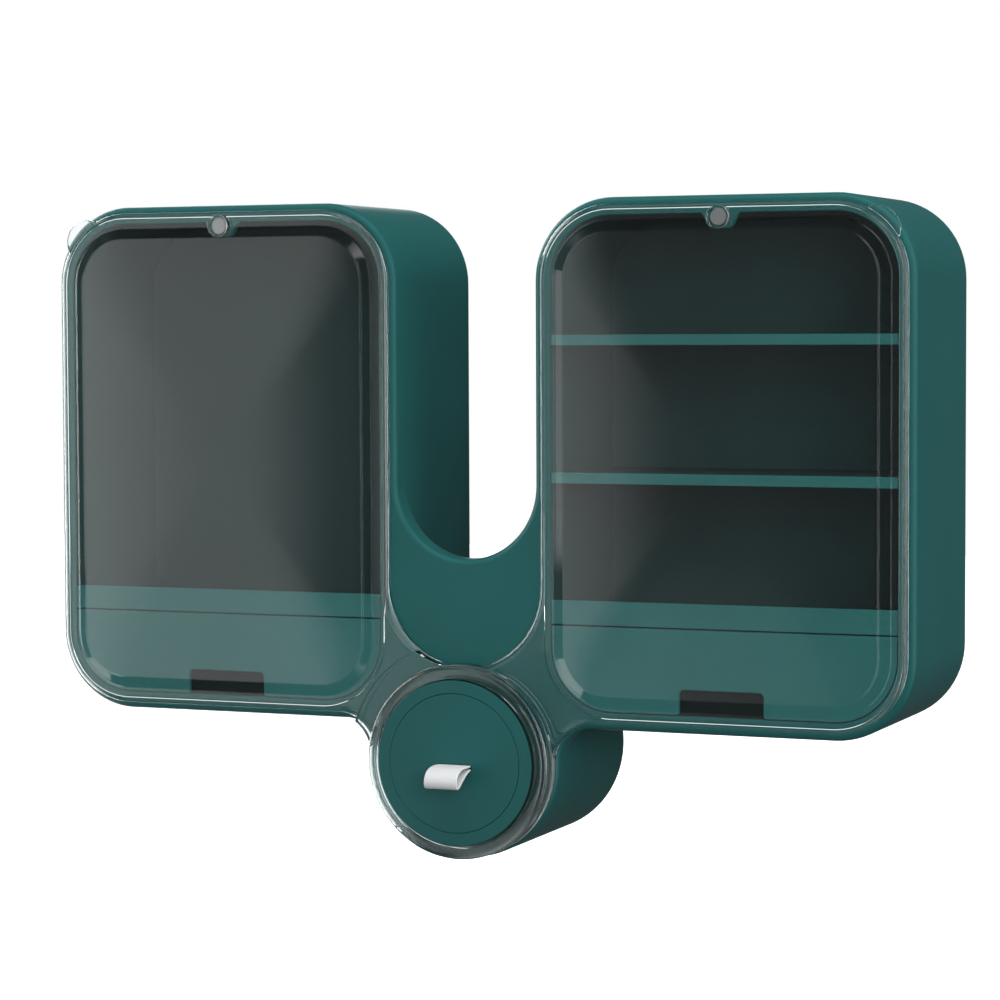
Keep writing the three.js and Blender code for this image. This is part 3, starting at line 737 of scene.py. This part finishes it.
def make_door(name, side):
    """A door in one piece with its neck, ring, ear and the boss that holds its magnet."""
    door = solid(lambda build: door_plate(build, side))
    if side < 0:
        door = combined(door, tool(circle(NECK_CUT), LEFT_RING_BACK, DOOR_BACK + LAP), "DIFFERENCE")
        door = combined(door, left_step(), "UNION")
        ring = (LEFT_RING_FRONT, LEFT_RING_BACK, LEFT_RING_INNER, LEFT_RING_ROUND)
    else:
        ring = (RIGHT_RING_FRONT, DOOR_BACK - 0.2, RING_BORE, RIGHT_RING_ROUND)
    door = combined(door, solid(lambda build: door_ring(build, *ring)), "UNION")
    ear = rounded_disc(side * EAR_X, EAR_Z, EAR_RADIUS, EAR_FRONT, EAR_BACK, EAR_ROUND)
    ear = combined(ear, tool(inset(box_outline(side), EDGE_ROUND + EAR_LAP), *DOOR_TOOLS), "DIFFERENCE")
    door = combined(door, ear, "UNION")
    magnet = (side * BOX_X, MAGNET_Z)
    boss = rounded_disc(*magnet, BOSS_RADIUS, BOSS_FRONT, DOOR_BACK - 0.1, BOSS_ROUND)
    door = combined(door, boss, "UNION")
    socket = rounded_disc(*magnet, MAGNET_RADIUS + MAGNET_GAP, SOCKET_FRONT, DOOR_BACK + 1, 0.2)
    door = combined(door, socket, "DIFFERENCE")
    obj = finished(door, f"{name}_clear_door", CLEAR, f"{name}_door", [f"{name}_door"])
    obj.visible_shadow = False


# ---------------------------------------------------------------- hub


def make_journal():
    """Fixed journal: the lip that keeps the rings on, the barrel they turn on and the drawer's sleeve."""
    front, barrel_bore = JOURNAL_FRONT, BARREL_RADIUS - BARREL_WALL
    lip = [
        (DISC_HOLE + 0.2, front), (LIP_RADIUS - 0.8, front), (LIP_RADIUS - 0.55, front + 0.1),
        (LIP_RADIUS - LIP_TAPER, front + LIP_EDGE), (LIP_RADIUS, LIP_BACK),
    ]
    barrel = [
        (BARREL_RADIUS, LIP_BACK), (BARREL_RADIUS, BARREL_BACK), (barrel_bore, BARREL_BACK),
        (barrel_bore, LIP_BACK),
    ]
    sleeve = [
        (SLEEVE_RADIUS, LIP_BACK), (SLEEVE_RADIUS, SLEEVE_BACK), (JOURNAL_BORE, SLEEVE_BACK),
        (JOURNAL_BORE, front + 4), (DISC_HOLE, front + 3), (DISC_HOLE, front + 0.2),
    ]
    build = Builder()
    build.turned(lip + barrel + sleeve)
    build.finish("hub_face", GREEN, "housing", ["hub_journal"])


def make_painted_lip_shade():
    """Painted shade: a dark band round the lip's side, where the ring's edge shades it."""
    front, back = JOURNAL_FRONT + LIP_EDGE + SHADE_BAND_GAP, LIP_BACK - 2 * SHADE_BAND_GAP
    slope = LIP_TAPER / (LIP_BACK - JOURNAL_FRONT - LIP_EDGE)
    at_front = LIP_RADIUS - LIP_TAPER + SHADE_BAND_GAP
    at_back = at_front + slope * (back - front)
    build = Builder()
    build.turned([
        (at_front, front), (at_back, back),
        (at_back + SHADE_BAND_THICKNESS, back), (at_front + SHADE_BAND_THICKNESS, front),
    ])
    build.finish("hub_lip_painted_shade", GREEN_PAINTED_DEEP_SHADE, "housing", ())


def make_round_drawer_face():
    """Round drawer's front, with the slot that the strap comes out of."""
    build = Builder()
    side_gap, half_height, corner = TAB_SLOT
    slot = rounded_rect(0, TAB_Z, TAB_WIDTH / 2 + side_gap, half_height, corner, 5)
    build.plate(circle(DRAWER_RADIUS), JOURNAL_FRONT, JOURNAL_FRONT + DRAWER_FACE, 0.2, holes=[slot])
    build.finish("round_drawer_disc", GREEN, "round_drawer", ["round_drawer_front"])


def make_pull_tab():
    """Soft strap folded over into a loop."""
    # Its middle line outside the drawer, from the slot out and back: (out from the drawer, up).
    out = [
        (-2.6, 1.0), (0, 0.95), (5, 1.1), (10.5, 0.6), (14.6, -1.4), (16.37, -4.6),
        (15.6, -7.4), (12.6, -7.2), (8.2, -4.4), (4, -2.1), (0, -0.95), (-2.6, -1.0),
    ]
    points = [(JOURNAL_FRONT - d, TAB_Z + z) for d, z in out]
    # Then round the pin behind the slot.
    half = TAB_THICKNESS / 2
    points += arc(JOURNAL_FRONT + PIN_BEHIND, TAB_Z, PIN_RADIUS + PIN_GAP + half, -110, 110, 8)
    centre = smooth_loop(points, 8)
    # Half the thickness at each distance from the strap's side, rounded towards its edges.
    edge = [(0, half - 0.35), (0.12, half - 0.15), (0.4, half)]
    stations = [(from_side - TAB_WIDTH / 2, thick) for from_side, thick in edge]
    stations += [(-x, thick) for x, thick in reversed(stations)]
    build = Builder()
    skins = []
    for way in (1, -1):
        rows = [build.side_loop(inset(centre, way * thick), x) for x, thick in stations]
        for first, second in zip(rows, rows[1:]):
            build.bridge(first, second)
        skins.append(rows)
    for end in (0, -1):
        build.bridge(skins[0][end], skins[1][end])
    build.finish("pull_strap", WHITE, "round_drawer", ["pull_tab"])


def smooth_loop(points, steps):
    """Closed Catmull-Rom curve through the points."""
    count = len(points)
    result = []
    for i in range(count):
        p = [Vector(points[(i + k) % count]) for k in (-1, 0, 1, 2)]
        for s in range(steps):
            t = s / steps
            co = 0.5 * (
                2 * p[1] + (p[2] - p[0]) * t + (2 * p[0] - 5 * p[1] + 4 * p[2] - p[3]) * t * t
                + (3 * p[1] - p[0] - 3 * p[2] + p[3]) * t**3
            )
            result.append((co.x, co.y))
    return result


# ---------------------------------------------------------------- back


def plate_outline(side, by, steps):
    """Outline of a box's adhesive plate, larger all round by this much."""
    return rounded_rect(
        side * BOX_X, PLATE_Z, PLATE_HALF_WIDTH + by, PLATE_HALF_HEIGHT + by, PLATE_CORNER, steps)


def make_back_panel(name, side):
    """Panel let into the box's back, with a raised frame and the plate's pocket."""
    build = Builder()
    plate = plate_outline(side, PLATE_BACK_GAP, 6)
    rim = build.sweep(box_outline(side), [
        (WALL + 0.3, -4), (WALL + 0.3, -0.5), (WALL + 0.8, 0), (WALL + FRAME_WIDTH - 1, 0),
        (WALL + FRAME_WIDTH - 0.4, -0.6), (WALL + FRAME_WIDTH, PANEL_BACK),
    ])
    ledge = build.sweep(plate, [(0, PANEL_BACK), (-0.6, PANEL_BACK)])
    pocket = build.sweep(plate, [(0, PANEL_BACK), (0, POCKET_FLOOR)])
    build.face(rim[1], ledge[1])
    build.face(pocket[1])
    build.finish(f"{name}_back_cover", GREEN_PAINTED_LIGHT, "housing", [f"{name}_back_panel"])


def make_wall_plate(name, side):
    build = Builder()
    build.plate(plate_outline(side, 0, 8), POCKET_FLOOR + PLATE_BACK_GAP, 0, 0.3, 0.4)
    build.finish(f"{name}_adhesive_pad", FOAM, "housing", [f"{name}_wall_plate"])


def screw_place(degrees):
    a = math.radians(degrees)
    return SCREW_CIRCLE * math.cos(a), SCREW_CIRCLE * math.sin(a)


def make_hub_back():
    """Lid in the hub's back, with a hole for each screw."""
    build = Builder()
    holes = [circle(SCREW_HOLE, 32, *screw_place(degrees)) for degrees in SCREW_ANGLES]
    build.plate(circle(HUB_RADIUS - HUB_WALL - 0.3), -3, 0, 0.4, 0.5, holes)
    build.finish("hub_back_lid", GREEN_PAINTED_LIGHT, "housing", ["hub_back_cover"])


def make_screw(index, degrees):
    """Pan-head screw seen from the back, with a cross recess."""
    x, z = screw_place(degrees)
    length, width = RECESS

    def capped(build, outline, profile):
        for end in build.sweep(outline, profile):
            build.face(end)

    pan = [(0, -1.6), (0, -1.0), (0.5, -0.6), (1.4, -0.35)]
    head = solid(lambda build: capped(build, circle(SCREW_HEAD, 40, x, z), pan))
    for turn in (0, 90):
        t = math.radians(turn + degrees)
        corners = ((length, width), (-length, width), (-length, -width), (length, -width))
        bar = [
            (x + math.cos(t) * u - math.sin(t) * v, z + math.sin(t) * u + math.cos(t) * v)
            for u, v in corners
        ]
        cut = solid(lambda build: capped(build, bar, [(0, RECESS_FLOOR), (0, 0.5)]))
        head = combined(head, cut, "DIFFERENCE")
    finished(head, f"hub_screw_head_{index}", STEEL, "housing", [f"hub_screw_{index}"])


# ---------------------------------------------------------------- assembly

make_housing()
for side_name, side_sign in SIDES.items():
    make_catch_tab(side_name, side_sign)
    make_liner(side_name, side_sign)
    make_drawer_front(side_name, side_sign)
    make_door(side_name, side_sign)
    make_back_panel(side_name, side_sign)
    make_wall_plate(side_name, side_sign)
    make_magnet(f"{side_name}_door_magnet", side_sign, f"{side_name}_door", DOOR_MAGNET)
    make_magnet(f"{side_name}_catch_magnet", side_sign, "housing", CATCH_MAGNET)
    # Fascias take the painted light green; dividers and drawer trays take the painted shade greens.
    soften(f"{side_name}_fascia", GREEN_PAINTED_LIGHT)
    soften(f"{side_name}_divider", GREEN_PAINTED_SHADE)
    soften(f"{side_name}_drawer_tray", GREEN_PAINTED_DEEP_SHADE, 0)
# Shelves in the painted shade green, their trims in the painted light green.
for shelf in ("upper", "lower"):
    soften(f"{shelf}_shelf", GREEN_PAINTED_SHADE)
    soften(f"{shelf}_shelf_trim", GREEN_PAINTED_LIGHT, 0.0006)
make_journal()
make_painted_lip_shade()
make_round_drawer_face()
make_pull_tab()
make_hub_back()
for screw_number, screw_angle in enumerate(SCREW_ANGLES, 1):
    make_screw(screw_number, screw_angle)
soften("ring_spacer", CLEAR, 0)
soften("round_drawer_tray", GREEN_PAINTED_LIGHT, 0)
soften("tab_pin", STEEL, 0)

# ---------------------------------------------------------------- studio: directions, and places in metres

FLOOR_HALF = 6.0
FLOOR_Z = -0.35

STUDIO_DIM = 0.10                 # light from every side
# Soft light on the viewer's left and a narrow strip beside it, which the doors reflect as a haze and a
# line: (place from 0 at -X to 1 at +X, brightness).
STUDIO_ACROSS = [
    (0.0, 0.0), (0.15, 0.1), (0.20, 1.4), (0.275, 0.80), (0.325, 0.11), (0.345, 0.07), (0.41, 0.02),
    (0.44, 0.0), (0.452, 2.2), (0.49, 2.2), (0.502, 0.0), (1.0, 0.0),
]
# Small panels beside them, for the doors' bevels and lower corners: (low and high X, low and high Z,
# brightness, softness).
STUDIO_PANELS = [
    (-0.82, -0.70, -0.08, 0.10, 1.3, 0.012),
    (-0.80, -0.50, -0.47, -0.18, 1.9, 0.012),
    (-0.50, -0.22, -0.34, -0.05, 0.32, 0.13),
]
STUDIO_TOP = 0.9                  # lights from above, the far right and below
STUDIO_RIGHT = 2.34
STUDIO_BELOW = 0.36
STUDIO_SIDE = 6.0                 # tall light beside and behind the object on the left, for its outer edge

# How each light and the backdrop fade with a direction's X, Y or Z: (where it is dark, where it is full).
FRONT_Y = (0.1, -0.2)
FRONT_HEIGHT = (0.45, 0.2)
EDGE_START, EDGE_FULL = 0.72, 0.86
SIDE_X = (-0.3, -0.5)
SIDE_Y = (-0.46, -0.36)
SIDE_HEIGHT = (0.75, 0.5)
BEHIND_Y = (-0.1, 0.15)
AROUND_Y = (-0.55, -0.4)
AROUND_HEIGHT = (0.1, 0.4)

# Area lights: place, the point that each faces, size and power in watts.
AREA_LIGHTS = {
    "top_light": ((0.1, -0.7, 1.9), (0, 0, 0.1), (1.8, 1.2), 24),
    "left_light": ((-1.7, -1.1, 0.6), (0, 0, 0.15), (0.9, 1.7), 14),
    "right_light": ((1.9, -0.5, 0.5), (0, 0, 0.15), (1.0, 1.6), 14),
    "front_light": ((1.15, -1.75, 0.6), (0, 0, 0.15), (0.9, 0.9), 21),
    "gap_light": ((0.95, -0.25, 1.65), (0, 0, 0.15), (0.6, 0.6), 13),
    "back_light": ((-0.9, 2.1, 0.9), (0, 0, 0.1), (1.4, 1.4), 22),
}

CAMERA_PLACE = (0.59162, -1.47453, 0.20864)
CAMERA_YAW = math.radians(22.52)
CAMERA_PITCH = math.radians(3.12)
CAMERA_ROLL = math.radians(-0.24)
CAMERA_LENS = 111.67


def make_floor():
    """Plain white paper, bright enough to be as white as the backdrop."""
    mesh = bmesh.new()
    bmesh.ops.create_grid(mesh, x_segments=8, y_segments=8, size=FLOOR_HALF)
    for v in mesh.verts:
        v.co.z = FLOOR_Z
    data = bpy.data.meshes.new("studio_floor")
    mesh.to_mesh(data)
    mesh.free()
    obj = bpy.data.objects.new("studio_floor", data)
    bpy.context.scene.collection.objects.link(obj)
    paper = plastic("floor_paper", (0.90, 0.90, 0.90), (0.93, 0.93, 0.93), (0.8, 0.95), 60.0, 0.0001)
    data.materials.append(paper)
    shader = paper.node_tree.nodes["Principled BSDF"]
    shader.inputs["Emission Color"].default_value = (1, 1, 1, 1)
    shader.inputs["Emission Strength"].default_value = 1.0
    obj.visible_glossy = False
    obj.visible_diffuse = False
    obj.visible_transmission = False


def maths(tree, operation, *values):
    """One Math node. Each of its values is a number or the socket that it comes from."""
    node = tree.nodes.new("ShaderNodeMath")
    node.operation = operation
    for socket, value in zip(node.inputs, values):
        if isinstance(value, float):
            socket.default_value = value
        else:
            tree.links.new(value, socket)
    return node.outputs["Value"]


def product(tree, first, *others):
    for other in others:
        first = maths(tree, "MULTIPLY", first, other)
    return first


def brightest(tree, first, *others):
    for other in others:
        first = maths(tree, "MAXIMUM", first, other)
    return first


def graded(tree, value, low, high):
    """0 below low and 1 above high, with a soft change between."""
    node = tree.nodes.new("ShaderNodeMapRange")
    node.interpolation_type = "SMOOTHSTEP"
    node.inputs["From Min"].default_value = low
    node.inputs["From Max"].default_value = high
    tree.links.new(value, node.inputs["Value"])
    return node.outputs["Result"]


def between(tree, value, low, high, edge):
    """1 from low to high and 0 outside, with soft edges."""
    return product(tree, graded(tree, value, low, low + edge), graded(tree, value, high, high - edge))


def studio_across(tree, x):
    """The soft light's brightness for a direction's X."""
    node = tree.nodes.new("ShaderNodeValToRGB")
    tree.links.new(maths(tree, "MULTIPLY_ADD", x, 0.5, 0.5), node.inputs["Fac"])
    ramp = node.color_ramp
    ramp.interpolation = "EASE"
    while len(ramp.elements) < len(STUDIO_ACROSS):
        ramp.elements.new(0.5)
    for element, (position, value) in zip(ramp.elements, STUDIO_ACROSS):
        element.position = position
        element.color = (value, value, value, 1)
    return node.outputs["Color"]


def studio_light(tree, x, y, z, glossy):
    """Brightness of the studio in a direction."""
    height = maths(tree, "ABSOLUTE", z)
    front = product(tree, studio_across(tree, x), graded(tree, height, *FRONT_HEIGHT))
    for x_low, x_high, z_low, z_high, brightness, edge in STUDIO_PANELS:
        panel = product(
            tree, between(tree, x, x_low, x_high, edge), between(tree, z, z_low, z_high, edge), brightness)
        front = brightest(tree, front, panel)
    edges = brightest(
        tree,
        product(tree, graded(tree, x, EDGE_START, EDGE_FULL), STUDIO_RIGHT),
        product(tree, graded(tree, z, EDGE_START, EDGE_FULL), STUDIO_TOP),
        product(tree, graded(tree, z, -EDGE_START, -EDGE_FULL), STUDIO_BELOW),
    )
    front = product(tree, brightest(tree, front, edges), graded(tree, y, *FRONT_Y))
    beside = product(
        tree, graded(tree, x, *SIDE_X), graded(tree, y, *SIDE_Y), graded(tree, height, *SIDE_HEIGHT),
        glossy, STUDIO_SIDE)
    return brightest(tree, maths(tree, "ADD", front, STUDIO_DIM), beside)


def white_backdrop(tree, y, z, rays):
    """1 for the rays that see the white backdrop: the camera's own, and those straight through a door."""
    behind = graded(tree, y, *BEHIND_Y)
    height = maths(tree, "ABSOLUTE", z)
    around = product(tree, graded(tree, height, *AROUND_HEIGHT), graded(tree, y, *AROUND_Y))
    direct = maths(tree, "LESS_THAN", rays.outputs["Diffuse Depth"], 0.5)
    through = product(tree, rays.outputs["Is Transmission Ray"], brightest(tree, behind, around), direct)
    return brightest(tree, rays.outputs["Is Camera Ray"], through)


def make_world():
    """Plain white backdrop, and a dim studio with a wide soft light low on the viewer's left."""
    world = bpy.data.worlds.new("studio")
    bpy.context.scene.world = world
    world.use_nodes = True
    tree = world.node_tree
    split = tree.nodes.new("ShaderNodeSeparateXYZ")
    tree.links.new(tree.nodes.new("ShaderNodeTexCoord").outputs["Generated"], split.inputs[0])
    x, y, z = (split.outputs[axis] for axis in "XYZ")
    rays = tree.nodes.new("ShaderNodeLightPath")
    mix = tree.nodes.new("ShaderNodeMix")
    mix.data_type = "RGBA"
    tree.links.new(white_backdrop(tree, y, z, rays), mix.inputs["Factor"])
    tree.links.new(studio_light(tree, x, y, z, rays.outputs["Is Glossy Ray"]), mix.inputs["A"])
    mix.inputs["B"].default_value = (1.0, 1.0, 1.0, 1)
    tree.links.new(mix.outputs["Result"], tree.nodes["Background"].inputs["Color"])


def area_light(name, position, target, size, power):
    data = bpy.data.lights.new(name, "AREA")
    data.shape = "RECTANGLE"
    data.size, data.size_y = size
    data.energy = power
    obj = bpy.data.objects.new(name, data)
    obj.location = position
    direction = Vector(target) - Vector(position)
    obj.rotation_euler = direction.to_track_quat("-Z", "Y").to_euler()
    obj.visible_glossy = False
    obj.visible_transmission = False
    bpy.context.scene.collection.objects.link(obj)


def make_camera():
    """At the photograph's angle: to the viewer's right of the object and a little above its middle."""
    forward = Vector((
        -math.sin(CAMERA_YAW) * math.cos(CAMERA_PITCH),
        math.cos(CAMERA_YAW) * math.cos(CAMERA_PITCH),
        -math.sin(CAMERA_PITCH),
    ))
    level = Vector((math.cos(CAMERA_YAW), math.sin(CAMERA_YAW), 0))
    right = level * math.cos(CAMERA_ROLL) + level.cross(forward) * math.sin(CAMERA_ROLL)
    up = right.cross(forward)
    turn = Matrix((
        (right.x, up.x, -forward.x), (right.y, up.y, -forward.y), (right.z, up.z, -forward.z),
    ))
    data = bpy.data.cameras.new("camera")
    data.sensor_width = 36.0
    data.lens = CAMERA_LENS
    data.clip_start, data.clip_end = 0.05, 50.0
    obj = bpy.data.objects.new("camera", data)
    obj.matrix_world = Matrix.Translation(CAMERA_PLACE) @ turn.to_4x4()
    bpy.context.scene.collection.objects.link(obj)
    bpy.context.scene.camera = obj


make_floor()
make_world()
make_camera()
for light_name, light_settings in AREA_LIGHTS.items():
    area_light(light_name, *light_settings)
bpy.context.scene.view_settings.view_transform = "Standard"
